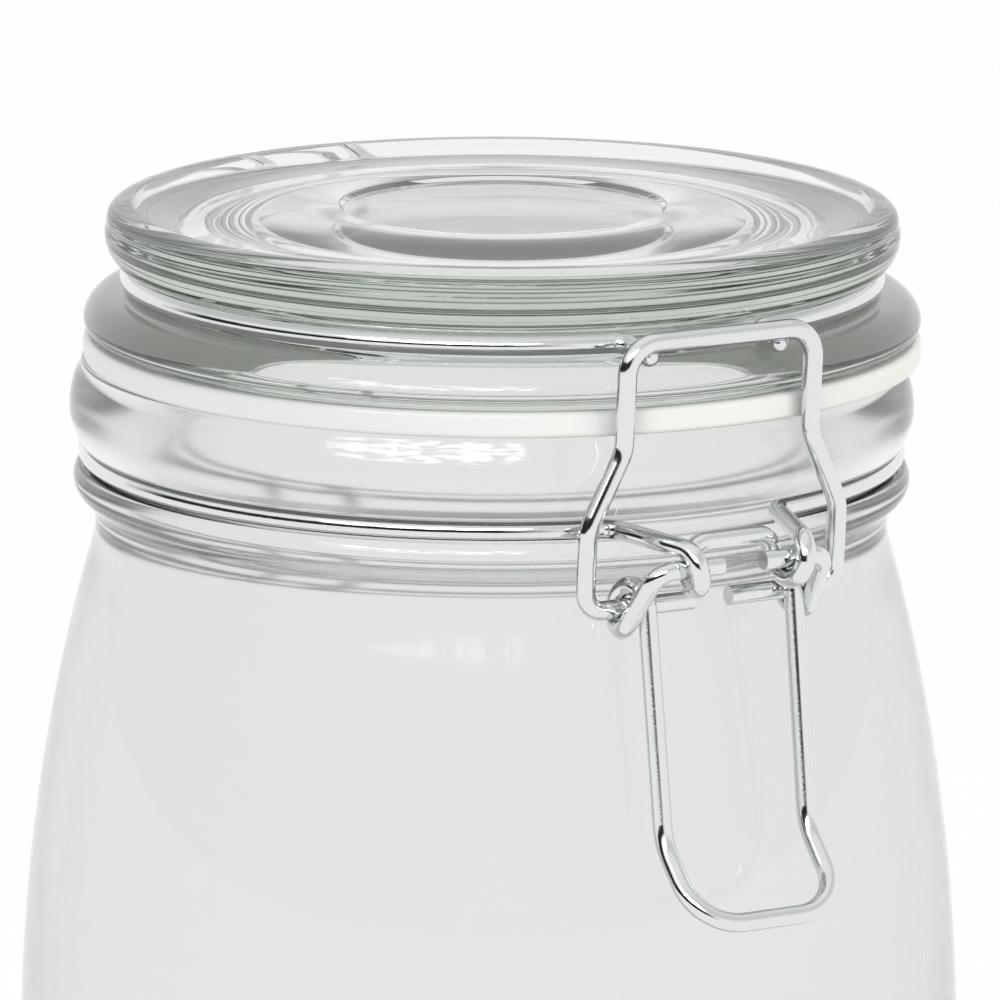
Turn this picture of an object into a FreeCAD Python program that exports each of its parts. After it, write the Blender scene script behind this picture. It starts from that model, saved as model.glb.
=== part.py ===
"""Clip-top storage jar: a blown glass jar, a pressed glass lid, a silicone gasket and four bent wires.

Millimetres, +Z up. The origin is the centre of the jar's foot. The clip faces -Y and the lid's
hinge faces +Y. A place on a wire is written (x, reach, z), where reach is the distance in front of
the jar's axis, so the hinge behind the jar has a negative reach.
"""

import math
import os

import FreeCAD
import Part

# Glass jar: overall sizes
RIM_Z = 155.8            # height of the sealing rim above the table
BELLY_OUT = 9.3          # the widest place stands this far outside the neck
BELLY_Z = 69.0           # height of the widest place
NECK_DROP = 20.4         # from the rim down to the narrowest place
NECK_FILLET = 5.0        # hollow between the lower bead and the shoulder
HEEL_R = 9.0             # rounding between the side and the foot
WALL = 3.8               # blown side wall
MOUTH_R = 40.0           # clear radius of the mouth
THROAT_R = 20.0          # rounding inside, where the mouth opens into the body
FLOOR = 6.5              # thickness of glass over the foot
INNER_HEEL_R = 11.0      # rounding inside, between the side and the floor
FOOT_R = 33.0            # inner edge of the ring that the jar stands on
PUSH_UP = 2.2            # rise of the hollow under the foot

# Glass jar: the finish, which is the moulded band round the mouth
FINISH_WALL = 9.2        # from the mouth out to the edge of the rim
RIM_LAND_IN = 1.2        # rounding at the inner edge of the rim
RIM_LAND_OUT = 0.9       # rounding at the outer edge of the rim
BEAD_OUT = 1.4           # the upper bead stands this far outside the rim's edge
BEAD_DROP = 6.5          # from the rim down to the fullest place of the upper bead
BEAD_HEIGHT = 3.5        # from that place down to the groove's upper lip
LOWER_BEAD_OUT = 0.95    # the lower bead stands this far outside the rim's edge
LOWER_BEAD_DROP = 14.8   # from the rim down to the fullest place of the lower bead
GROOVE_DROP = 11.6       # from the rim down to the middle of the wire groove
GROOVE_LIP_OUT = 0.2     # the two lips of the groove stand this far outside the rim's edge
NECK_IN = 1.7            # the neck under the beads is this far inside the rim's edge

# Wire and its play
WIRE_D = 2.3             # zinc-plated steel wire, one size throughout
WIRE_R = WIRE_D / 2
SEAT_GAP = 0.2           # between a wire and the glass groove that it lies in
PROUD = 0.15             # the neck wire stands this far outside the lips of its groove
EYE_GAP = 0.15           # between a stub and the eye that turns on it
REST_GAP = 0.3           # between the bail's bar and the prongs under it
BEND_R = 2.4             # usual bend, to the middle of the wire
EYE_TRAVEL = 2.2         # sideways travel of an eye, over its three quarters of a turn
CROSS_IN = 0.5           # from the eye in to the corner of the crossbar beside it
CROSS_R = 2.0            # that corner's bend
WAIST_BEND_R = 6.0       # gentle bends of the bail's legs
EXIT_RUN = 3.0           # straight run between a ring and the bend out of its groove

# Gasket
GASKET_T = 3.0
GASKET_PLAY = 1.0        # the gasket's hole is this much larger in radius than the mouth
SEAL_WIDTH = 9.0         # width of the sealing band
GASKET_EDGE = 0.7        # rounding of the gasket's outer edges

# Lid: heights are measured up from the lid's underside, which lies on the gasket
LID_OFFSET = 2.4         # the lid sits this far towards the clip, by the play of its hinge
COLLAR_PLAY = 0.4        # between the lid's collar and the gasket
COLLAR_DEPTH = 2.4
PLUG_PLAY = 3.5          # between the centred plug and the mouth
PLUG_DEPTH = 5.0
PLUG_WALL = 3.0
RECESS_H = 6.7           # hollow inside the plug, above the underside
RECESS_ROUND = 5.0       # rounding of the hollow's upper edge
FLANGE_EDGE = 2.2        # height of the flange's widest place
FLANGE_H = 5.0           # height of the flange's shoulder
FLANGE_SHOULDER = 2.5    # the shoulder lies this far inside the edge
LID_GROOVE_H = 6.8       # height of the middle of the lid's wire groove
LID_GROOVE_IN = 5.5      # the wire in it runs this far inside the flange's edge
TOP_DISC_IN = 2.8        # the upper disc is this much smaller in radius than the flange
TOP_DISC_EDGE_H = 12.0   # height of the upper disc's widest place
LID_H = 15.7             # top of the raised rim of the upper disc
TOP_SINK = 0.4           # the flat top lies this far under its raised rim
TOP_ROUND = 3.0          # width of the rounded shoulder of the upper disc
TOP_LIFT = 0.2           # the shoulder is this much fuller than a quarter of a circle
DISC_FOOT_IN = 1.0       # the disc starts, above the groove, this far inside its widest place
PANEL_R = 19.0           # shallow round panel in the middle of the top
PANEL_SINK = 0.6

# Clip: the lever turns in two eyes of the neck wire, and the bail turns in two coils of the lever
ARM_X = 11.0             # the neck wire leaves its groove here, each side of the middle
NECK_EYE_X = 7.8         # outer end of the neck wire's eyes
COIL_IN = 0.3            # the lever's coils, beside the middle, reach this far inside the neck's radius
PIVOT_DROP = 14.8        # from the rim down to the lever's pivot
STUB_END_X = 2.8         # inner ends of the lever's stubs
LEVER_CORNER_X = 11.2    # where the lever turns off its pivot
HANDLE_X = 9.7           # the handle's two legs, which leave the inner ends of the lever's coils
COIL_GAP = 0.5           # between the turns of a coil
THROW_IN = 7.1           # the bail's eye lies this far behind the lever's pivot
THROW_DOWN = 5.5         # and this far under it, so that the shut clip is past its dead centre
HANDLE_SLOPE = 8.0       # degrees, how far the legs lean away from the glass
HANDLE_LEG = 27.2        # height of the upper legs, from the coil down to the knee
KNEE_R = 7.0             # bend at the knee
KICK = 8.2               # the lower handle kicks out by this much, and down by as much
HANDLE_CORNER_R = 6.0    # rounded lower corners of the handle
BAIL_BAR_X = 12.5        # the bail's upper corners
BAIL_FOOT_X = 16.8       # its lower corners
BAIL_STUB_X = 2.5        # inner ends of its stubs
BAIL_WAIST_LOW = 9.9     # where the legs start to lean in, above the stubs
BAIL_WAIST_HIGH = 18.7   # where they stand upright again
BAIL_CORNER_R = 3.6
BAR_OVERHANG = 0.6       # the bar stands this far in front of the lid's flange

# Lid wire
PRONG_X = 8.7            # its two prongs, over the flange under the bail's bar
PRONG_SEAT_H = 4.55      # height of their seat above the lid's underside
PRONG_ANGLE = 48.0       # degrees, direction from a prong's round tip up to the bar
LIFT_X = 7.0             # where it leaves the lid's groove at the back

# Hinge at the back
HINGE_PLAY = 0.3         # between the upper bead and the lid wire's hinge eyes
HINGE_DROP = 12.2        # from the rim down to the hinge line
HINGE_ARM_X = 10.8       # the neck wire's ends leave the groove here
PIN_END_X = 3.0          # inner ends of its two hinge pins

ARC_STEP = 20.0          # largest turn of one arc of a wire round the neck, degrees
EYE_STEP = 45.0          # largest turn of one arc of an eye, degrees


# Places that follow from the sizes
RIM_EDGE_R = MOUTH_R + FINISH_WALL
BEAD_R = RIM_EDGE_R + BEAD_OUT
LOWER_BEAD_R = RIM_EDGE_R + LOWER_BEAD_OUT
GROOVE_LIP_R = RIM_EDGE_R + GROOVE_LIP_OUT
NECK_R = RIM_EDGE_R - NECK_IN
BELLY_R = NECK_R + BELLY_OUT
RING_R = GROOVE_LIP_R + PROUD - WIRE_R
RING_Z = RIM_Z - GROOVE_DROP
LID_R = MOUTH_R + GASKET_PLAY + SEAL_WIDTH
LID_Z = RIM_Z + GASKET_T
LID_RING_R = LID_R - LID_GROOVE_IN
LID_RING_Z = LID_Z + LID_GROOVE_H
EYE_R = WIRE_D + EYE_GAP           # radius of an eye, to the middle of its wire
COIL_REACH = EYE_R + WIRE_R        # outside radius of an eye or a coil
COIL_X = HANDLE_X + WIRE_D + COIL_GAP
BAIL_EYE = (NECK_R - COIL_IN + COIL_REACH, RIM_Z - PIVOT_DROP - THROW_DOWN)
PIVOT = (BAIL_EYE[0] + THROW_IN, RIM_Z - PIVOT_DROP)
BAR = (LID_R + LID_OFFSET + BAR_OVERHANG, LID_Z + PRONG_SEAT_H + WIRE_D + WIRE_R)
BAIL_RISE = BAR[1] - BAIL_EYE[1]
HINGE = (-(BEAD_R + HINGE_PLAY + COIL_REACH), RIM_Z - HINGE_DROP)

# Fullness of the moulded curves: how far an arc's middle stands out, as a share of its half depth
SLIGHT, EVEN, FULL = 0.4, 0.5, 0.6


# Glass and gasket: outlines turned about the axis

def revolved(outline, axis_y=0.0):
    """Turn a closed outline of (radius, height) corners about the upright axis at y = axis_y.

    An item is either a corner, reached by a straight line, or a pair (through, to) for an arc.
    """
    def place(corner):
        return FreeCAD.Vector(corner[0], axis_y, corner[1])

    edges = []
    here = outline[0]
    for item in outline[1:] + [outline[0]]:
        if isinstance(item[0], tuple):
            through, there = item
            edges.append(Part.Arc(place(here), place(through), place(there)).toShape())
        else:
            there = item
            edges.append(Part.makeLine(place(here), place(there)))
        here = there
    face = Part.Face(Part.Wire(edges))
    return face.revolve(FreeCAD.Vector(0, axis_y, 0), FreeCAD.Vector(0, 0, 1), 360)


def on_circle(centre, radius, degrees):
    """The point of a circle at an angle from the outward direction, in an outline's plane."""
    turn = math.radians(degrees)
    return (centre[0] + radius * math.cos(turn), centre[1] + radius * math.sin(turn))


def side_radius():
    """Radius of the barrel-shaped side: an arc, upright at the belly and tangent to the neck."""
    height = RIM_Z - NECK_DROP - BELLY_Z
    depth = BELLY_R - NECK_R
    return (height ** 2 + depth ** 2) / (2 * depth) - NECK_FILLET


def heel(side_r, floor_z, fillet):
    """Fillet between the side and a flat floor: its points on the floor, in the middle, on the side."""
    side_centre = (BELLY_R - side_radius(), BELLY_Z)
    drop = BELLY_Z - floor_z - fillet
    centre = (side_centre[0] + math.sqrt((side_r - fillet) ** 2 - drop ** 2), floor_z + fillet)
    side_turn = -math.degrees(math.asin(drop / (side_r - fillet)))
    return [
        on_circle(centre, fillet, -90),
        on_circle(centre, fillet, (side_turn - 90) / 2),
        on_circle(centre, fillet, side_turn),
    ]


def jar_outside():
    """From the foot up over the belly, the neck and the two beads to the rim."""
    side_r = side_radius()
    side_centre = (BELLY_R - side_r, BELLY_Z)
    neck_centre = (NECK_R + NECK_FILLET, RIM_Z - NECK_DROP)
    lean = math.degrees(math.atan2(neck_centre[1] - BELLY_Z, neck_centre[0] - side_centre[0]))
    heel_floor, heel_middle, heel_side = heel(side_r, 0.0, HEEL_R)
    lower_lip = (GROOVE_LIP_R, RING_Z - WIRE_R - SEAT_GAP)
    upper_lip = (GROOVE_LIP_R, RING_Z + WIRE_R + SEAT_GAP)
    groove_r = WIRE_R + SEAT_GAP
    groove = (RING_R, RING_Z)
    bead = (BEAD_R, RIM_Z - BEAD_DROP)
    bead_foot = (GROOVE_LIP_R, bead[1] - BEAD_HEIGHT)
    edge = (RIM_EDGE_R, RIM_Z - RIM_LAND_OUT)
    neck_top = on_circle(neck_centre, NECK_FILLET, 135)
    return [
        heel_floor,
        (heel_middle, heel_side),
        ((BELLY_R, BELLY_Z), on_circle(side_centre, side_r, lean)),
        ((NECK_R, neck_centre[1]), neck_top),
        ((LOWER_BEAD_R, RIM_Z - LOWER_BEAD_DROP), lower_lip),
        on_circle(groove, groove_r, -90),
        (on_circle(groove, groove_r, 180), on_circle(groove, groove_r, 90)),
        upper_lip,
        bead_foot,
        (bulge(bead_foot, bead, SLIGHT), bead),
        (bulge(bead, edge, FULL), edge),
        (rounded(edge, -RIM_LAND_OUT), (RIM_EDGE_R - RIM_LAND_OUT, RIM_Z)),
    ]


def bulge(start, end, fullness):
    """Middle of an arc between two corners, moved outward by a share of its depth in radius."""
    return (
        (start[0] + end[0]) / 2 + fullness * abs(end[0] - start[0]) / 2,
        (start[1] + end[1]) / 2,
    )


def rounded(corner, radius):
    """Middle of the quarter round that leads inward and up from a corner of the rim."""
    centre = (corner[0] + radius, corner[1])
    return on_circle(centre, abs(radius), 45 if radius < 0 else 135)


def jar_inside():
    """From the rim down the mouth and the side to the middle of the floor."""
    side_r = side_radius() - WALL
    side_centre = (BELLY_R - side_radius(), BELLY_Z)
    inset = BELLY_R - WALL - MOUTH_R
    throat_z = BELLY_Z + math.sqrt(2 * inset * (side_r + THROAT_R) - inset ** 2)
    throat_centre = (MOUTH_R + THROAT_R, throat_z)
    lean = math.degrees(math.atan2(throat_z - BELLY_Z, throat_centre[0] - side_centre[0]))
    heel_floor, heel_middle, heel_side = heel(side_r, FLOOR, INNER_HEEL_R)
    mouth_edge = (MOUTH_R, RIM_Z - RIM_LAND_IN)
    return [
        (MOUTH_R + RIM_LAND_IN, RIM_Z),
        (rounded(mouth_edge, RIM_LAND_IN), mouth_edge),
        (MOUTH_R, throat_z),
        (
            on_circle(throat_centre, THROAT_R, 180 + lean / 2),
            on_circle(throat_centre, THROAT_R, 180 + lean),
        ),
        ((BELLY_R - WALL, BELLY_Z), heel_side),
        (heel_middle, heel_floor),
        (0.0, FLOOR),
    ]


def make_jar():
    dome_r = (FOOT_R ** 2 + PUSH_UP ** 2) / (2 * PUSH_UP)
    half = FOOT_R / 2
    dome_middle = (half, PUSH_UP - dome_r + math.sqrt(dome_r ** 2 - half ** 2))
    outline = jar_outside() + jar_inside() + [(0.0, PUSH_UP)]
    outline.append((dome_middle, (FOOT_R, 0.0)))
    return revolved(outline)


def make_gasket():
    inner = MOUTH_R + GASKET_PLAY
    outer = LID_R
    top = RIM_Z + GASKET_T
    middle = outer - GASKET_EDGE * (1 - math.sqrt(0.5))
    return revolved([
        (inner, RIM_Z),
        (outer - GASKET_EDGE, RIM_Z),
        ((middle, RIM_Z + outer - middle), (outer, RIM_Z + GASKET_EDGE)),
        (outer, top - GASKET_EDGE),
        ((middle, top - outer + middle), (outer - GASKET_EDGE, top)),
        (inner, top),
    ], -LID_OFFSET)


def make_lid():
    plug_r = MOUTH_R - PLUG_PLAY
    recess_r = plug_r - PLUG_WALL
    collar_r = MOUTH_R + GASKET_PLAY - COLLAR_PLAY
    tip_r = PLUG_WALL / 2
    tip = (plug_r - tip_r, LID_Z - PLUG_DEPTH + tip_r)
    ceiling = LID_Z + RECESS_H
    ceiling_round = (recess_r - RECESS_ROUND, ceiling - RECESS_ROUND)
    flange_edge = (LID_R, LID_Z + FLANGE_EDGE)
    flange_foot = (LID_R - FLANGE_EDGE / 2, LID_Z)
    flange_top = (LID_R - FLANGE_SHOULDER, LID_Z + FLANGE_H)
    groove = (LID_RING_R, LID_RING_Z)
    groove_r = WIRE_R + SEAT_GAP
    disc_edge = (LID_R - TOP_DISC_IN, LID_Z + TOP_DISC_EDGE_H)
    disc_foot = (disc_edge[0] - DISC_FOOT_IN, groove[1] + groove_r + WIRE_R / 2)
    rim_top = (disc_edge[0] - TOP_ROUND, LID_Z + LID_H)
    top_round = (rim_top[0], disc_edge[1] + TOP_LIFT)
    flat_z = rim_top[1] - TOP_SINK
    panel_z = flat_z - PANEL_SINK
    return revolved([
        (0.0, ceiling),
        (ceiling_round[0], ceiling),
        (on_circle(ceiling_round, RECESS_ROUND, 45), (recess_r, ceiling_round[1])),
        (recess_r, tip[1]),
        (on_circle(tip, tip_r, -90), (plug_r, tip[1])),
        (plug_r, LID_Z - COLLAR_DEPTH),
        (collar_r, LID_Z - COLLAR_DEPTH),
        (collar_r, LID_Z),
        flange_foot,
        (bulge(flange_foot, flange_edge, FULL), flange_edge),
        (bulge(flange_edge, flange_top, EVEN), flange_top),
        on_circle(groove, groove_r, -90),
        (on_circle(groove, groove_r, 180), on_circle(groove, groove_r, 90)),
        disc_foot,
        (bulge((disc_foot[0], groove[1]), disc_edge, EVEN), disc_edge),
        (on_circle(top_round, TOP_ROUND + TOP_LIFT, 45), rim_top),
        (rim_top[0] - TOP_ROUND / 2, flat_z),
        (PANEL_R + PANEL_SINK, flat_z),
        (PANEL_R, panel_z),
        (0.0, panel_z),
    ], -LID_OFFSET)


# Wires: routes of corners, each with its bend radius

def at(x, reach, z):
    return FreeCAD.Vector(x, -reach, z)


def polygon_round(radius, start, sweep, largest_step):
    """Corners of the polygon whose sides touch an arc, as (share of the sweep, across, up)."""
    count = math.ceil(abs(sweep) / largest_step)
    step = sweep / count
    corner_r = radius / math.cos(math.radians(step / 2))
    corners = []
    for index in range(count):
        across, up = on_circle((0.0, 0.0), corner_r, start + (index + 0.5) * step)
        corners.append(((index + 0.5) / count, across, up))
    return corners


def neck_round(radius, z, start, sweep, centre_reach=0.0):
    """Part of a level ring round the neck. Its angle 0 is at the front, 90 at +X."""
    return [
        (at(side, centre_reach + front, z), radius)
        for _, front, side in polygon_round(radius, start, sweep, ARC_STEP)
    ]


def eye_round(centre, start, sweep, x_start, x_end):
    """Turns of an eye round a level axis. Its angle 0 is the side facing away from the jar's axis."""
    return [
        (at(x_start + share * (x_end - x_start), centre[0] + out, centre[1] + up), EYE_R)
        for share, out, up in polygon_round(EYE_R, start, sweep, EYE_STEP)
    ]


def both_sides(right_half):
    """A route and its mirror image, joined at the middle of the jar."""
    left_half = [(FreeCAD.Vector(-p.x, p.y, p.z), radius) for p, radius in reversed(right_half)]
    return right_half + left_half


def bent_wire(route):
    """Sweep the wire along straight runs joined by tangent arcs, one for each inner corner of the route.

    Where two bends share a run that is too short for both, each takes its share of it.
    """
    points = [point for point, _ in route]
    runs = [b - a for a, b in zip(points, points[1:])]
    turns = [0.0] + [a.getAngle(b) for a, b in zip(runs, runs[1:])] + [0.0]
    wanted = [radius * math.tan(turn / 2) for (_, radius), turn in zip(route, turns)]
    reach = list(wanted)
    for index, run in enumerate(runs):
        share = min(1.0, run.Length / max(wanted[index] + wanted[index + 1], 1e-9))
        reach[index] = min(reach[index], wanted[index] * share)
        reach[index + 1] = min(reach[index + 1], wanted[index + 1] * share)
    edges = []
    here = points[0]
    for index in range(1, len(points) - 1):
        before = FreeCAD.Vector(runs[index - 1]).normalize()
        after = FreeCAD.Vector(runs[index]).normalize()
        start = points[index] - before * reach[index]
        end = points[index] + after * reach[index]
        half_turn = turns[index] / 2
        bow = reach[index] * (1 / math.sin(half_turn) - 1 / math.tan(half_turn))
        middle = points[index] + (after - before).normalize() * bow
        if here.distanceToPoint(start) > 1e-6:
            edges.append(Part.makeLine(here, start))
        edges.append(Part.Arc(start, middle, end).toShape())
        here = end
    edges.append(Part.makeLine(here, points[-1]))
    section = Part.Wire([Part.makeCircle(WIRE_R, points[0], runs[0])])
    return Part.Wire(edges).makePipeShell([section], True, False)


def groove_exit(ring_r, x):
    """Where a ring's wire turns out of its groove at x: the ring's angle and the corner's reach."""
    angle = math.asin(x / math.hypot(ring_r, EXIT_RUN)) + math.atan2(EXIT_RUN, ring_r)
    corner_reach = ring_r * math.cos(angle) + EXIT_RUN * math.sin(angle)
    return math.degrees(angle), corner_reach


def make_neck_wire():
    """One wire: hinge pins at its ends, a ring in the groove, and two eyes joined by a crossbar."""
    back_angle, back_reach = groove_exit(RING_R, HINGE_ARM_X)
    front_angle, front_reach = groove_exit(RING_R, ARM_X)
    sweep = front_angle - (180 - back_angle)
    half = [
        (at(PIN_END_X, *HINGE), 0.0),
        (at(HINGE_ARM_X, *HINGE), BEND_R),
        (at(HINGE_ARM_X, -back_reach, RING_Z), BEND_R),
    ]
    half += neck_round(RING_R, RING_Z, 180 - back_angle, sweep)
    half.append((at(ARM_X, front_reach, RING_Z), BEND_R))
    half += eye_round(PIVOT, 90, -270, NECK_EYE_X, NECK_EYE_X - EYE_TRAVEL)
    half.append((at(NECK_EYE_X - EYE_TRAVEL - CROSS_IN, PIVOT[0] - EYE_R, PIVOT[1] + EYE_R), CROSS_R))
    return bent_wire(both_sides(half))


def make_lever_wire():
    """The handle, with a stub in each eye of the neck wire and a coil round each stub of the bail."""
    rise = math.degrees(math.atan2(THROW_DOWN, THROW_IN))
    tangent = math.degrees(math.acos(EYE_R / math.hypot(THROW_IN, THROW_DOWN)))
    coil_start = rise - tangent
    coil_end = HANDLE_SLOPE - 360
    leg_top = on_circle(BAIL_EYE, EYE_R, HANDLE_SLOPE)
    lean = math.tan(math.radians(HANDLE_SLOPE))
    knee = (leg_top[0] + HANDLE_LEG * lean, leg_top[1] - HANDLE_LEG)
    half = [
        (at(STUB_END_X, *PIVOT), 0.0),
        (at(LEVER_CORNER_X, *PIVOT), BEND_R),
    ]
    half += eye_round(BAIL_EYE, coil_start, coil_end - coil_start, COIL_X, HANDLE_X)
    half.append((at(HANDLE_X, *knee), KNEE_R))
    half.append((at(HANDLE_X, knee[0] + KICK, knee[1] - KICK), HANDLE_CORNER_R))
    return bent_wire(both_sides(half))


def make_bail_wire():
    """The bail, narrow over the lid and wide at its stubs."""
    def on_leg(x, height):
        share = height / BAIL_RISE
        return at(x, BAIL_EYE[0] + share * (BAR[0] - BAIL_EYE[0]), BAIL_EYE[1] + height)

    half = [
        (at(BAIL_STUB_X, *BAIL_EYE), 0.0),
        (at(BAIL_FOOT_X, *BAIL_EYE), BEND_R),
        (on_leg(BAIL_FOOT_X, BAIL_WAIST_LOW), WAIST_BEND_R),
        (on_leg(BAIL_BAR_X, BAIL_WAIST_HIGH), WAIST_BEND_R),
        (at(BAIL_BAR_X, *BAR), BAIL_CORNER_R),
    ]
    return bent_wire(both_sides(half))


def make_lid_wire():
    """One wire: two prongs at its ends, a ring in the lid's groove, and two eyes at the hinge."""
    front_angle, front_reach = groove_exit(LID_RING_R, PRONG_X)
    back_angle, back_reach = groove_exit(LID_RING_R, LIFT_X)
    tip = on_circle(BAR, WIRE_D + REST_GAP, 180 + PRONG_ANGLE)
    half = [
        (at(PRONG_X, *tip), 0.0),
        (at(PRONG_X, LID_OFFSET + front_reach, LID_RING_Z), BEND_R),
    ]
    half += neck_round(LID_RING_R, LID_RING_Z, front_angle, 180 - back_angle - front_angle, LID_OFFSET)
    half += [
        (at(LIFT_X, LID_OFFSET - back_reach, LID_RING_Z), BEND_R),
        (at(LIFT_X, HINGE[0] + EYE_R, LID_RING_Z), BEND_R),
    ]
    half += eye_round(HINGE, 0, -270, LIFT_X, LIFT_X - EYE_TRAVEL)
    half.append((at(LIFT_X - EYE_TRAVEL - CROSS_IN, HINGE[0] + EYE_R, HINGE[1] + EYE_R), CROSS_R))
    wire = bent_wire(both_sides(half))
    for side in (-1, 1):
        wire = wire.fuse(Part.makeSphere(WIRE_R, at(side * PRONG_X, *tip)))
    return wire


PARTS = {
    "jar": make_jar,
    "gasket": make_gasket,
    "lid": make_lid,
    "neck_wire": make_neck_wire,
    "lid_wire": make_lid_wire,
    "lever_wire": make_lever_wire,
    "bail_wire": make_bail_wire,
}


def main():
    os.makedirs("parts", exist_ok=True)
    for name, make in PARTS.items():
        shape = make()
        print(name, "solids:", len(shape.Solids), "valid:", shape.isValid(), "mm3:", round(shape.Volume))
        shape.exportStep(f"parts/{name}.step")


main()
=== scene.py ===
# %% [markdown]
# # A clip-top storage jar
# The jar is blown glass and the lid is pressed glass. A silicone ring seals them, and four pieces
# of zinc-plated wire hold them together. The imported model gives every place and size, so the first
# step loads it and keeps its box.

# %% Load the imported model
import math

import bmesh
import bpy
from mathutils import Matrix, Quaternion, Vector


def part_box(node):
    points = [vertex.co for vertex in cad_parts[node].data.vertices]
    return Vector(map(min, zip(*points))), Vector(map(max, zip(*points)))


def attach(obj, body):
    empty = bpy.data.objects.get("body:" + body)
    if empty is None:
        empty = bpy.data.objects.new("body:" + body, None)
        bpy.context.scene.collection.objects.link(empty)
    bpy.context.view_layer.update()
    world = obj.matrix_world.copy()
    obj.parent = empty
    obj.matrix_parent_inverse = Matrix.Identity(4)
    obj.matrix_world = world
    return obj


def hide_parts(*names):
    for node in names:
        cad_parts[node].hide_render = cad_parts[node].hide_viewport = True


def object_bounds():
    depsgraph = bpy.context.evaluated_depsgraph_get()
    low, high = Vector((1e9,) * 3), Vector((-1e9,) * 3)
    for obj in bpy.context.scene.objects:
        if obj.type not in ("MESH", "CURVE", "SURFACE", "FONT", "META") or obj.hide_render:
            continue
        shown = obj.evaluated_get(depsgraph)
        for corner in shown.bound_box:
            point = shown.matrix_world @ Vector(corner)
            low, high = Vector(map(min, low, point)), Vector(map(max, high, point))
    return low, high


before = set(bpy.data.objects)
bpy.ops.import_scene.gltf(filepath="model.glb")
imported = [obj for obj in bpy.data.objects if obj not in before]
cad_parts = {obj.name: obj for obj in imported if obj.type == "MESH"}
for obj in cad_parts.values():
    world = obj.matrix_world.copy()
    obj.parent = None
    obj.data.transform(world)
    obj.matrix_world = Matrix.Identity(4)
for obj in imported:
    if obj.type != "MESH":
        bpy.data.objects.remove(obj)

cad_low, cad_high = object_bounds()
print("CAD box, mm:", [round(1000 * x, 1) for x in (*cad_low, *cad_high)])

MM = 0.001


# %% [markdown]
# ## Small helpers
# A material is a tree of nodes. One function adds a node: its settings are the node's own options,
# and each input is either a plain value or the output of an earlier node, which is then linked.
# Colours are written as they look on a screen, in hex, and turned to the linear values that the
# renderer works in.

# %% Helpers for nodes and colours
def add_node(tree, kind, inputs=(), **settings):
    made = tree.nodes.new("ShaderNode" + kind)
    for name, value in settings.items():
        setattr(made, name, value)
    for name, value in dict(inputs).items():
        if isinstance(value, bpy.types.NodeSocket):
            tree.links.new(value, made.inputs[name])
        else:
            made.inputs[name].default_value = value
    return made


def colour(hex_code):
    def linear(channel):
        return channel / 12.92 if channel <= 0.04045 else ((channel + 0.055) / 1.055) ** 2.4

    return (*(linear(int(hex_code[i:i + 2], 16) / 255) for i in (0, 2, 4)), 1.0)


def new_material(name):
    made = bpy.data.materials.new(name)
    made.use_nodes = True
    made.node_tree.nodes.clear()
    return made, made.node_tree


def set_stops(ramp, stops):
    """Give a colour ramp its stops: pairs of a place from 0 to 1 and a hex colour."""
    while len(ramp.elements) < len(stops):
        ramp.elements.new(0.5)
    for element, (place, shade) in zip(ramp.elements, stops):
        element.position = place
        element.color = colour(shade)


def level_direction(degrees):
    """The level direction that lies so far round from the clip, to the right of the clip's front."""
    turn = math.radians(degrees)
    return Vector((math.sin(turn), -math.cos(turn), 0.0))


# %% [markdown]
# ## The studio
# Clear glass has no colour of its own: it shows what is behind it and beside it. A jar on white is
# drawn by its surroundings, so a lit box round it would be the simple way, but the glass would then
# mirror the box's corners. The world itself is painted instead. Its walls are white at the level of
# the jar and a little greyer above it, and pale grey curtains hang on both sides of the view, which
# draw the soft grey lines along the edges of the glass.

# %% The studio's walls
WHITE = colour("ffffff")
CURTAIN = colour("d2d5d2")
CAMERA_SIDE = -30.0      # degrees, where the camera is, from the clip
CURTAIN_EDGE, CURTAIN_FULL = 0.85, 0.1   # cosines from straight behind: its edge, and where it is full
CURTAIN_TOP, CURTAIN_FADE = 0.6, 0.3     # heights where it has ended and where it starts to end

world = bpy.data.worlds.new("studio")
bpy.context.scene.world = world
world.use_nodes = True
sky = world.node_tree
sky.nodes.clear()
direction = add_node(sky, "TexCoord").outputs["Generated"]
height = add_node(sky, "SeparateXYZ", {0: direction}).outputs["Z"]
share = add_node(sky, "MapRange", {"Value": height, "From Min": -1.0, "From Max": 1.0}).outputs[0]
walls = add_node(sky, "ValToRGB", {"Fac": share})
set_stops(walls.color_ramp, [(0.0, "f0f0f0"), (0.47, "ffffff"), (0.64, "ffffff"),
                             (0.76, "e0e2e0"), (0.88, "d8dad8"), (0.96, "f8f8f8")])

behind = level_direction(CAMERA_SIDE + 180)
to_back = add_node(sky, "VectorMath", {0: direction, 1: behind}, operation="DOT_PRODUCT")
to_back = to_back.outputs["Value"]
aside = add_node(sky, "MapRange", {
    "Value": to_back, "From Min": CURTAIN_EDGE, "From Max": CURTAIN_FULL}).outputs[0]
low_part = add_node(sky, "MapRange", {
    "Value": height, "From Min": CURTAIN_TOP, "From Max": CURTAIN_FADE}).outputs[0]
aside = add_node(sky, "Math", {0: aside, 1: low_part}, operation="MULTIPLY").outputs[0]
curtained = add_node(sky, "Mix", {0: aside, 6: walls.outputs["Color"], 7: CURTAIN},
                     data_type="RGBA").outputs[2]
print("studio walls and curtains:", len(sky.nodes), "nodes")


# %% [markdown]
# Bright wire is a mirror, and in an all-white studio it would vanish. Photographers give it
# something dark to mirror. Here that is a dark band low on one side of the room. It would spoil the
# glass, so only slightly blurred mirror rays find it: the renderer calls a ray from perfectly smooth
# glass singular, and one from satin metal not. The faces of the glass that are a little dull see it
# too, faintly.

# %% The dark side of the room, for the wire
ROOM_SIDE = -80.0        # degrees, where the middle of the dark band is, from the clip
ROOM_EDGE, ROOM_FULL = 0.3, 0.6          # cosines from that middle, where the band starts and is full

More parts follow.
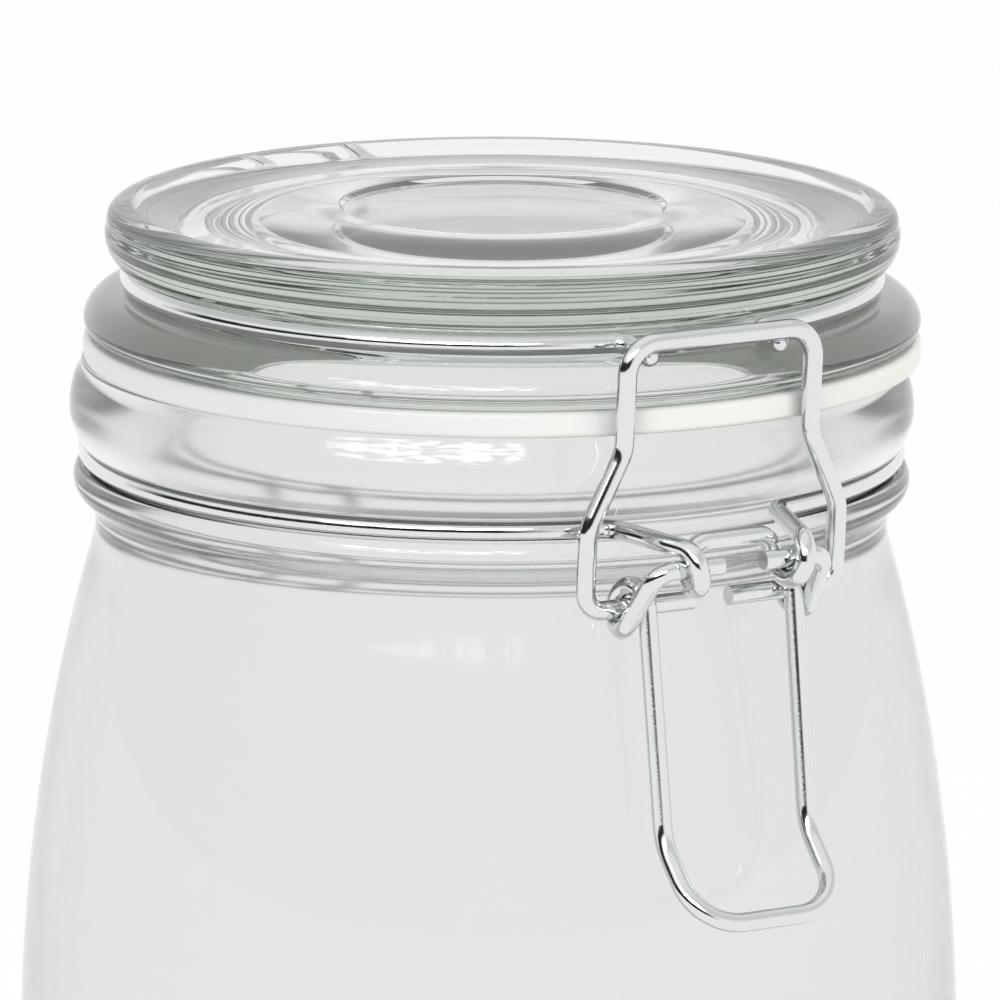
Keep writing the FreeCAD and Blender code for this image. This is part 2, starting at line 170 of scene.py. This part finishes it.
ray = add_node(sky, "LightPath").outputs
facing = add_node(sky, "VectorMath", {0: direction, 1: level_direction(ROOM_SIDE)},
                  operation="DOT_PRODUCT").outputs["Value"]
facing = add_node(sky, "MapRange", {
    "Value": facing, "From Min": ROOM_EDGE, "From Max": ROOM_FULL}).outputs[0]
bands = add_node(sky, "ValToRGB", {"Fac": share})
set_stops(bands.color_ramp, [(0.0, "ffffff"), (0.45, "ffffff"), (0.50, "1c1e20"),
                             (0.66, "2c2f32"), (0.72, "ffffff"), (0.9, "ffffff")])
dark_room = add_node(sky, "Mix", {0: facing, 6: walls.outputs["Color"], 7: bands.outputs["Color"]},
                     data_type="RGBA").outputs[2]
blurred = add_node(sky, "Math", {0: ray["Is Reflection Ray"], 1: ray["Is Singular Ray"]},
                   operation="SUBTRACT").outputs[0]
mirrored = add_node(sky, "Mix", {0: blurred, 6: curtained, 7: dark_room}, data_type="RGBA",
                    clamp_factor=True).outputs[2]
print("with the dark side:", len(sky.nodes), "nodes")


# %% [markdown]
# The jar's belly mirrors one bright, broken patch: daylight from a window. A lamp would give it
# straight edges, so it is painted on the world too, its edge broken up by noise, and only mirror
# rays see it.

# %% The window
WINDOW_LIGHT = 9.0       # how much brighter than the walls it is
WINDOW_ACROSS = -0.62, 0.12              # from side to side, as shares of the view to the right
WINDOW_UP = 0.34, 0.62                   # from its sill to its top, as heights of the direction
WINDOW_FRONT = -1.0, -0.05               # it is on the camera's side of the room
SOFT_EDGE = 0.05
RAGGED_SCALE, RAGGED_DETAIL = 9.0, 6.0   # a patch about a ninth of the way across, and its raggedness
RAGGED_FROM, RAGGED_TO = 0.42, 0.56      # values of the noise between which the patch fills in


def between(value, low, high):
    """1 where the value lies between the two limits, fading out over the soft edge on both sides."""
    rise = add_node(sky, "MapRange", {
        "Value": value, "From Min": low - SOFT_EDGE, "From Max": low}).outputs[0]
    fall = add_node(sky, "MapRange", {
        "Value": value, "From Min": high + SOFT_EDGE, "From Max": high}).outputs[0]
    return add_node(sky, "Math", {0: rise, 1: fall}, operation="MULTIPLY").outputs[0]


to_right = add_node(sky, "VectorMath", {0: direction, 1: level_direction(CAMERA_SIDE + 90)},
                    operation="DOT_PRODUCT").outputs["Value"]
ripple = add_node(sky, "TexNoise", {
    "Vector": direction, "Scale": RAGGED_SCALE, "Detail": RAGGED_DETAIL}).outputs[0]
ragged = add_node(sky, "MapRange", {
    "Value": ripple, "From Min": RAGGED_FROM, "From Max": RAGGED_TO}).outputs[0]
window = between(to_right, *WINDOW_ACROSS)
for limit in (between(height, *WINDOW_UP), ragged, between(to_back, *WINDOW_FRONT),
              ray["Is Reflection Ray"]):
    window = add_node(sky, "Math", {0: window, 1: limit}, operation="MULTIPLY").outputs[0]
level = add_node(sky, "Math", {0: window, 1: WINDOW_LIGHT, 2: 1.0},
                 operation="MULTIPLY_ADD").outputs[0]
print("with the window:", len(sky.nodes), "nodes")


# %% [markdown]
# Light Path tells the rays apart. Mirror and glass rays see the studio, the camera sees plain white,
# and the rays that light matt surfaces get one even, softer level.

# %% What each kind of ray sees
SOFT_LIGHT = 0.85        # level that lights matt surfaces

mirror_or_glass = add_node(sky, "Math", {0: ray["Is Glossy Ray"], 1: ray["Is Transmission Ray"]},
                           operation="MAXIMUM").outputs[0]
matt = add_node(sky, "Background", {"Color": WHITE, "Strength": SOFT_LIGHT}).outputs[0]
seen = add_node(sky, "Background", {"Color": mirrored, "Strength": level}).outputs[0]
plain = add_node(sky, "Background", {"Color": WHITE, "Strength": 1.0}).outputs[0]
lit = add_node(sky, "MixShader", {0: mirror_or_glass, 1: matt, 2: seen}).outputs[0]
shown = add_node(sky, "MixShader", {0: ray["Is Camera Ray"], 1: lit, 2: plain}).outputs[0]
add_node(sky, "OutputWorld", {"Surface": shown})
print("whole studio:", len(sky.nodes), "nodes")


# %% [markdown]
# ## The floor
# A pale floor catches the jar's soft shadow. Most of its whiteness is a glow that matt surfaces
# don't see, so it meets the background without an edge. The rest is an ordinary matt surface, which
# is what a shadow needs. Seen through the glass, its glow goes grey at the sides as the curtains do,
# so that they seem to reach the ground.

# %% Floor
FLOOR_SIZE = 12.0
GLOW_SHARE = 0.92        # how much of the whiteness is glow

floor_paint, tree = new_material("white matt paper")
ray = add_node(tree, "LightPath").outputs
seen = ray["Is Camera Ray"]
for kind in ("Is Glossy Ray", "Is Transmission Ray"):
    seen = add_node(tree, "Math", {0: seen, 1: ray[kind]}, operation="MAXIMUM").outputs[0]
glowing = add_node(tree, "Math", {0: seen, 1: GLOW_SHARE}, operation="MULTIPLY").outputs[0]
position = add_node(tree, "NewGeometry").outputs["Position"]
spot = add_node(tree, "VectorMath", {0: position}, operation="NORMALIZE").outputs[0]
aside = add_node(tree, "VectorMath", {0: spot, 1: behind}, operation="DOT_PRODUCT").outputs["Value"]
aside = add_node(tree, "MapRange", {
    "Value": aside, "From Min": CURTAIN_EDGE, "From Max": CURTAIN_FULL}).outputs[0]
aside = add_node(tree, "Math", {0: aside, 1: ray["Is Transmission Ray"]},
                 operation="MULTIPLY").outputs[0]
shade = add_node(tree, "Mix", {0: aside, 6: WHITE, 7: CURTAIN}, data_type="RGBA").outputs[2]
paper = add_node(tree, "BsdfDiffuse", {"Color": colour("f4f4f4")}).outputs[0]
glow = add_node(tree, "Emission", {"Color": shade, "Strength": 1.0}).outputs[0]
mixed = add_node(tree, "MixShader", {0: glowing, 1: paper, 2: glow}).outputs[0]
add_node(tree, "OutputMaterial", {"Surface": mixed})

bpy.ops.mesh.primitive_plane_add(size=FLOOR_SIZE, location=(0, 0, cad_low.z))
floor = bpy.context.object
floor.name = "floor"
floor.data.materials.append(floor_paint)
print("floor at z =", round(cad_low.z, 4))


# %% [markdown]
# ## The lamps
# Two large soft boxes give the floor its shadow and the silicone its shading. One is slightly blue,
# as daylight from a window is. Glass and wire neither mirror nor pass them: their straight edges
# would show there, and the studio does that work.

# %% Soft boxes
SOFT_BOX_POWER = 9.0     # watts
LIT_PLACE = Vector((0, 0, 0.12))         # the middle of the shoulder, where both point


def soft_box(name, place, size, shade):
    lamp = bpy.data.lights.new(name, "AREA")
    lamp.shape = "RECTANGLE"
    lamp.size, lamp.size_y = size
    lamp.energy = SOFT_BOX_POWER
    lamp.color = colour(shade)[:3]
    made = bpy.data.objects.new(name, lamp)
    bpy.context.collection.objects.link(made)
    made.visible_glossy = made.visible_transmission = False
    made.location = place
    made.rotation_euler = (LIT_PLACE - Vector(place)).to_track_quat("-Z", "Y").to_euler()
    return made


lamps = [
    soft_box("window box", (-1.3, -0.9, 0.75), (0.5, 0.8), "eef2fb"),
    soft_box("key box", (0.7, -1.2, 0.9), (0.7, 0.5), "fffaf2"),
]
print("lamps:", len(lamps))


# %% [markdown]
# ## Camera
# A long lens from a little over a metre away keeps the two rims nearly parallel. It looks down by
# twelve degrees, from beside the clip.

# %% Camera
ELEVATION = 12.0
DISTANCE = 1.2
AIM_DROP = 0.0369        # how far under the top of the object the camera aims
AIM_SIDE = 0.00105
WIDTH_SEEN = 0.1201      # width of the view at the jar's axis
ROLL = 0.3
FILM_WIDTH = 36.0        # mm

tilt = math.radians(ELEVATION)
back = level_direction(CAMERA_SIDE) * math.cos(tilt) + Vector((0, 0, math.sin(tilt)))
side = level_direction(CAMERA_SIDE + 90)
camera = bpy.data.objects.new("camera", bpy.data.cameras.new("camera"))
bpy.context.collection.objects.link(camera)
camera.location = Vector((0, 0, cad_high.z - AIM_DROP)) + side * AIM_SIDE + back * DISTANCE
camera.rotation_mode = "QUATERNION"
level_view = (-back).to_track_quat("-Z", "Y")
camera.rotation_quaternion = level_view @ Quaternion((0, 0, 1), math.radians(ROLL))
camera.data.sensor_width = FILM_WIDTH
camera.data.lens = FILM_WIDTH * DISTANCE / WIDTH_SEEN
bpy.context.scene.camera = camera
bpy.context.scene.view_settings.view_transform = "Standard"
print("lens, mm:", round(camera.data.lens, 1))


# %% [markdown]
# ## Turned glass
# The jar, the lid and the gasket are round, so each could be a turned outline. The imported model
# already holds the right outline, but as short straight steps that show as bands in clear glass.
# So the outline is read from the model where it crosses a plane through the axis, its hard corners
# are rounded as a flame rounds them, and a smooth curve is laid through it and turned again.

# %% Read an outline
def outline_of(name):
    """Corners (radius, height) in mm, in order, where a turned node crosses the plane through its
    axis. It is cut along two planes, so that a flat face across the axis gets a corner there."""
    low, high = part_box(name)
    axis = (low + high) / 2
    shape = bmesh.new()
    shape.from_mesh(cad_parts[name].data)
    bmesh.ops.remove_doubles(shape, verts=shape.verts, dist=2e-6)
    for normal in ((1, 0, 0), (0, 1, 0)):
        everything = shape.verts[:] + shape.edges[:] + shape.faces[:]
        found = bmesh.ops.bisect_plane(shape, geom=everything, dist=1e-6, plane_co=axis,
                                       plane_no=normal)
    edges = [e for e in found["geom_cut"] if isinstance(e, bmesh.types.BMEdge)
             and all(v.co.x > axis.x - 1e-5 for v in e.verts)]
    links = {}
    for edge in edges:
        a, b = edge.verts
        links.setdefault(a, []).append(b)
        links.setdefault(b, []).append(a)
    ends = [v for v, others in links.items() if len(others) == 1]
    here = min(ends or links, key=lambda v: v.co.z)
    path, before = [here], None
    while True:
        onward = [v for v in links[here] if v is not before and (v not in path or v is path[0])]
        if not onward or onward[0] is path[0]:
            break
        before, here = here, onward[0]
        path.append(here)
    corners = [((v.co.x - axis.x) / MM, v.co.z / MM) for v in path]
    shape.free()
    return [Vector(c) for c in corners], not ends, axis


def turn_at(a, b, c):
    """The angle by which a path that runs from a to b to c turns at b."""
    if (b - a).length < 1e-6 or (c - b).length < 1e-6:
        return 0.0
    return (b - a).angle(c - b)


for name in ("jar", "lid", "gasket"):
    print(name, "outline:", len(outline_of(name)[0]), "corners")


# %% [markdown]
# A corner that turns by less than the sharp angle is one of the model's steps along a curve, and
# stays. A harder one is a real edge, and gets a small arc. The curve that is laid through the
# points then leaves each one in the direction that its two neighbours suggest.

# %% Smooth it
SHARP = math.radians(24)
ARC_STEP = 18            # degrees that each piece of a corner's arc turns by, at most
BEND_STEP = 3            # degrees, the same for the smooth curve
MOST_PIECES = 12         # in one span of the curve


def rounded_corners(path, closed, radius):
    """Replace each hard corner with a short arc of that radius in mm, or as much of it as fits."""
    made = []
    count = len(path)
    for index, corner in enumerate(path):
        if not closed and index in (0, count - 1):
            made.append(corner)
            continue
        before, after = path[index - 1], path[(index + 1) % count]
        angle = turn_at(before, corner, after)
        if angle < SHARP:
            made.append(corner)
            continue
        room = 0.45 * min((corner - before).length, (after - corner).length)
        reach = min(radius * math.tan(angle / 2), room)
        start = corner + (before - corner).normalized() * reach
        end = corner + (after - corner).normalized() * reach
        steps = max(2, math.ceil(math.degrees(angle) / ARC_STEP))
        for step in range(steps + 1):
            t = step / steps
            made.append(start * (1 - t) ** 2 + corner * (2 * t * (1 - t)) + end * t ** 2)
    return made


def slope(p, q, r, length):
    """The direction of the curve at q, between its neighbours, as long as the span it is for."""
    first, second = (q - p).length, (r - q).length
    if first < 1e-9 or second < 1e-9:
        return (r - p).normalized() * length
    blend = (q - p) / first * second + (r - q) / second * first
    return blend / (first + second) * length


def smooth_curve(path, closed, step):
    """A smooth curve through every corner, with points at most about step mm apart where it bends."""
    count = len(path)
    spans = count if closed else count - 1
    made = []
    for index in range(spans):
        b, c = path[index], path[(index + 1) % count]
        a = path[index - 1] if closed or index else b
        d = path[(index + 2) % count] if closed or index + 2 < count else c
        length = (c - b).length
        if length < 1e-6:
            continue
        start, end = slope(a, b, c, length), slope(b, c, d, length)
        bend = math.degrees(turn_at(a, b, c) + turn_at(b, c, d))
        wanted = min(math.ceil(length / step), math.ceil(bend / BEND_STEP) + 1)
        pieces = max(1, min(MOST_PIECES, wanted))
        for piece in range(pieces):
            t = piece / pieces
            made.append(
                b * (2 * t ** 3 - 3 * t ** 2 + 1) + start * (t ** 3 - 2 * t ** 2 + t)
                + c * (3 * t ** 2 - 2 * t ** 3) + end * (t ** 3 - t ** 2)
            )
    if not closed:
        made.append(path[-1])
    return made


def smooth_outline(name, radius, step):
    """A node's outline with its edges rounded by that radius, whether it is closed, and its axis."""
    corners, closed, axis = outline_of(name)
    return smooth_curve(rounded_corners(corners, closed, radius), closed, step), closed, axis


# %% [markdown]
# The curve is turned about the axis, ring by ring. A point that lies on the axis is a single one,
# with triangles round it.

# %% Turn it
AXIS_REACH = 0.02        # mm, a point nearer to the axis than this is on it


def turned(name, path, closed, axis, steps):
    """Turn a curve about an upright axis, in so many steps, and make a piece of it."""
    angles = [round(2 * math.pi * k / steps, 6) for k in range(steps)]
    mesh = bpy.data.meshes.new(name)
    shape = bmesh.new()
    rings = []
    for point in path:
        if point.x < AXIS_REACH:
            rings.append([shape.verts.new((axis.x, axis.y, point.y * MM))])
            continue
        radius = point.x * MM
        rings.append([shape.verts.new((axis.x + radius * math.cos(angle),
                                       axis.y + radius * math.sin(angle), point.y * MM))
                      for angle in angles])
    pairs = list(zip(rings, rings[1:] + rings[:1] if closed else rings[1:]))
    for lower, upper in pairs:
        if len(lower) == 1 and len(upper) == 1:
            continue
        for k in range(steps):
            m = (k + 1) % steps
            if len(lower) == 1:
                shape.faces.new((lower[0], upper[m], upper[k]))
            elif len(upper) == 1:
                shape.faces.new((lower[k], lower[m], upper[0]))
            else:
                shape.faces.new((lower[k], lower[m], upper[m], upper[k]))
    bmesh.ops.recalc_face_normals(shape, faces=shape.faces)
    for face in shape.faces:
        face.smooth = True
    shape.to_mesh(mesh)
    shape.free()
    made = bpy.data.objects.new(name, mesh)
    bpy.context.collection.objects.link(made)
    return made


GLASS_STEPS, RING_STEPS = 288, 192       # round the axis


# %% [markdown]
# ## The jar
# A bubble of glass is blown into an iron mould, which shapes the outside and the foot, and its rim
# is fire-polished. The smooth curve can swing a hair below a foot that rests on the table, so no
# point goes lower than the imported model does.

# %% The jar
GLASS_EDGE = 0.5         # mm, radius of an edge that a flame has softened

jar_curve, closed, jar_axis = smooth_outline("jar", GLASS_EDGE, 1.5)
jar_curve = [Vector((p.x, max(p.y, cad_low.z / MM))) for p in jar_curve]
jar = turned("jar_glass", jar_curve, closed, jar_axis, GLASS_STEPS)
print("jar:", len(jar_curve), "points")


# %% [markdown]
# ## The lid
# The lid is pressed between a mould and a plunger, so it is thick. On the real one the edge of the
# upper disc is fullest above its middle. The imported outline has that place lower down, so the
# points of the edge move up here by a smooth amount, which is nothing at the edge's ends.

# %% The lid
EDGE_LIFT = 1.3          # mm
DISC_LOW, DISC_HIGH = 8.15, 15.7         # mm above the lid's underside, from which the edge runs
DISC_INSIDE = 40.0       # mm from the axis, further in than the edge

lid_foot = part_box("gasket")[1].z


def fuller_edge(point):
    share = (point.y - lid_foot / MM - DISC_LOW) / (DISC_HIGH - DISC_LOW)
    inside = point.x < DISC_INSIDE or not 0.0 < share < 1.0
    return 0.0 if inside else EDGE_LIFT * math.sin(math.pi * share)


lid_curve, closed, lid_axis = smooth_outline("lid", GLASS_EDGE, 1.0)
lid_curve = [Vector((p.x, p.y + fuller_edge(p))) for p in lid_curve]
lid = turned("lid_glass", lid_curve, closed, lid_axis, GLASS_STEPS)
print("lid:", len(lid_curve), "points")


# %% [markdown]
# ## The gasket
# The ring is soft, and the clip squeezes it between the two glass flanges. It touches both. A film
# of air there would mirror like silver, so the ring is made a very little higher about its middle
# and reaches a few hundredths of a millimetre into both.

# %% The gasket
GASKET_EDGE = 0.3        # mm
SQUEEZED_IN = 1.03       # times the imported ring's height

gasket_curve, closed, gasket_axis = smooth_outline("gasket", GASKET_EDGE, 1.0)
middle = sum(p.y for p in gasket_curve) / len(gasket_curve)
gasket_curve = [Vector((p.x, middle + (p.y - middle) * SQUEEZED_IN)) for p in gasket_curve]
gasket = turned("gasket_ring", gasket_curve, closed, gasket_axis, RING_STEPS)
print("gasket:", len(gasket_curve), "points")


# %% [markdown]
# Each piece rides on the body that carries it and stands for its imported node.

# %% What each piece rides on and stands for
for piece, body, node in ((jar, "jar", "jar"), (lid, "lid", "lid"), (gasket, "lid", "gasket")):
    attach(piece, body)
    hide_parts(node)
print("pieces:", jar.name, lid.name, gasket.name)


# %% [markdown]
# ## Finishes: glass
# Both glasses are soda-lime glass, the common glass of jars and windows. Its index of 1.52 bends
# the view through the walls and gives the rim its bright and dark lines. Its colour is hardly seen
# in a thin wall and turns to a pale green in a thick edge, so that green isn't painted on: light is
# absorbed along its way through the glass. A faint grey is painted on each face, though: that is
# painted shade, which darkens the view through the glass a little.
# Its faces are fire-polished, which leaves them clear but never quite flat, and the view through
# them swims a little: that is one octave of smooth noise. The jar's inner wall is shaped by air and
# no mould, so it is uneven, and blurs the view through it. A plunger chilled the lid's underside and
# left it faintly dull. Both are kept as a number on the points of one closed mesh, because a second
# material on some of its faces would let the absorption leak out.

# %% Clear glass
def clear_glass(name, painted_shade, absorb, density, wave_mm, wave_height_mm, roughness):
    made, tree = new_material(name)
    place = add_node(tree, "TexCoord").outputs["Object"]
    wave = add_node(tree, "TexNoise", {
        "Vector": place, "Scale": 1 / (wave_mm * MM), "Detail": 0.0}).outputs[0]
    bump = add_node(tree, "Bump", {
        "Height": wave, "Strength": 1.0, "Distance": wave_height_mm * MM}).outputs[0]
    dull = add_node(tree, "Attribute", attribute_name="dull").outputs["Fac"]
    blur = add_node(tree, "Math", {0: dull, 1: roughness}, operation="MULTIPLY").outputs[0]
    # The base colour is painted shade: a faint grey that darkens the view through each face.
    glass = add_node(tree, "BsdfPrincipled", {
        "Base Color": colour(painted_shade), "Roughness": blur, "IOR": 1.52,
        "Transmission Weight": 1.0, "Normal": bump}).outputs[0]
    body = add_node(tree, "VolumeAbsorption", {
        "Color": colour(absorb), "Density": density}).outputs[0]
    add_node(tree, "OutputMaterial", {"Surface": glass, "Volume": body})
    return made


# Blown: long, shallow waves, a nearly colourless wall and a light grey of painted shade. It looks soft
# and even.
blown = clear_glass("blown soda-lime glass", painted_shade="f5f5f5", absorb="d2d6d2", density=3.0,
                    wave_mm=9.0, wave_height_mm=0.02, roughness=0.15)
# Pressed: shorter waves, a thick body and a fainter painted shade. It looks sharper, and green at its
# edge.
pressed = clear_glass("pressed soda-lime glass", painted_shade="fafbfa", absorb="b9c7b8", density=12.0,
                      wave_mm=6.0, wave_height_mm=0.012, roughness=0.07)
jar.data.materials.append(blown)
lid.data.materials.append(pressed)
print("glasses:", blown.name, "and", pressed.name)


# %% Which faces are dull
HOLLOW_RISE, HOLLOW_REACH = 7.0, 38.0    # mm, the part of the lid that the plunger pressed


def mark_dull(piece, is_dull):
    """Keep with each point whether it is on a face that came out a little dull."""
    dull = piece.data.attributes.new("dull", "FLOAT", "POINT")
    for point in piece.data.vertices:
        dull.data[point.index].value = float(is_dull(point))
    print(piece.name, "dull points:", sum(mark.value > 0 for mark in dull.data))


mark_dull(jar, lambda point: point.normal.xy.dot(point.co.xy - jar_axis.xy) < 0)
mark_dull(lid, lambda point: point.co.z < lid_foot + HOLLOW_RISE * MM
          and (point.co.xy - lid_axis.xy).length < HOLLOW_REACH * MM)


# %% [markdown]
# ## Finishes: silicone
# The gasket is moulded silicone rubber. It is milky rather than clear, since light scatters inside
# it, and satin rather than glossy, since the mould has a fine grain. A matt white body that lets a
# little light through gives that, with an index of 1.41. The grain is drawn at half a millimetre,
# coarser than the real one, so that it shows at all.

# %% Silicone
SILICONE_GRAIN_MM = 0.5

silicone, tree = new_material("moulded translucent silicone")
place = add_node(tree, "TexCoord").outputs["Object"]
grain = add_node(tree, "TexNoise", {
    "Vector": place, "Scale": 1 / (SILICONE_GRAIN_MM * MM), "Detail": 3.0}).outputs[0]
bump = add_node(tree, "Bump", {
    "Height": grain, "Strength": 0.4, "Distance": 0.03 * MM}).outputs[0]
soft = add_node(tree, "BsdfPrincipled", {
    "Base Color": colour("dfe0dc"), "Roughness": 0.3, "IOR": 1.41, "Transmission Weight": 0.1,
    "Normal": bump}).outputs[0]
add_node(tree, "OutputMaterial", {"Surface": soft})
gasket.data.materials.append(silicone)
print("gasket finish:", silicone.name)


# %% [markdown]
# ## Finishes: wire
# The clip is bent from drawn steel wire with a bright zinc plating. It is a mirror with a slightly
# bluish white colour, and a plating never has quite the same polish all over: it is cloudier in
# some places, over about three millimetres, so its highlights are crisp here and softer there.
# Drawing leaves a fine grain, drawn here at about a third of a millimetre so that it shows.

# %% Zinc-plated wire
PLATING_CLOUD_MM, DRAWN_GRAIN_MM = 3.0, 0.35
CLEAREST, CLOUDIEST = 0.05, 0.14         # roughness of the plating

zinc, tree = new_material("bright zinc-plated steel wire")
place = add_node(tree, "TexCoord").outputs["Object"]
cloud = add_node(tree, "TexNoise", {
    "Vector": place, "Scale": 1 / (PLATING_CLOUD_MM * MM), "Detail": 4.0}).outputs[0]
rough = add_node(tree, "MapRange", {
    "Value": cloud, "From Min": 0.3, "From Max": 0.7,
    "To Min": CLEAREST, "To Max": CLOUDIEST}).outputs[0]
grain = add_node(tree, "TexNoise", {
    "Vector": place, "Scale": 1 / (DRAWN_GRAIN_MM * MM), "Detail": 3.0}).outputs[0]
bump = add_node(tree, "Bump", {
    "Height": grain, "Strength": 0.3, "Distance": 0.02 * MM}).outputs[0]
metal = add_node(tree, "BsdfPrincipled", {
    "Base Color": colour("e2e4e5"), "Metallic": 1.0, "Roughness": rough, "Normal": bump}).outputs[0]
add_node(tree, "OutputMaterial", {"Surface": metal})
for name in ("neck_wire", "lid_wire", "lever_wire", "bail_wire"):
    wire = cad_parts[name]
    wire.data.materials.clear()
    wire.data.materials.append(zinc)
    for face in wire.data.polygons:
        face.use_smooth = True
print("materials:", [m.name for m in bpy.data.materials])
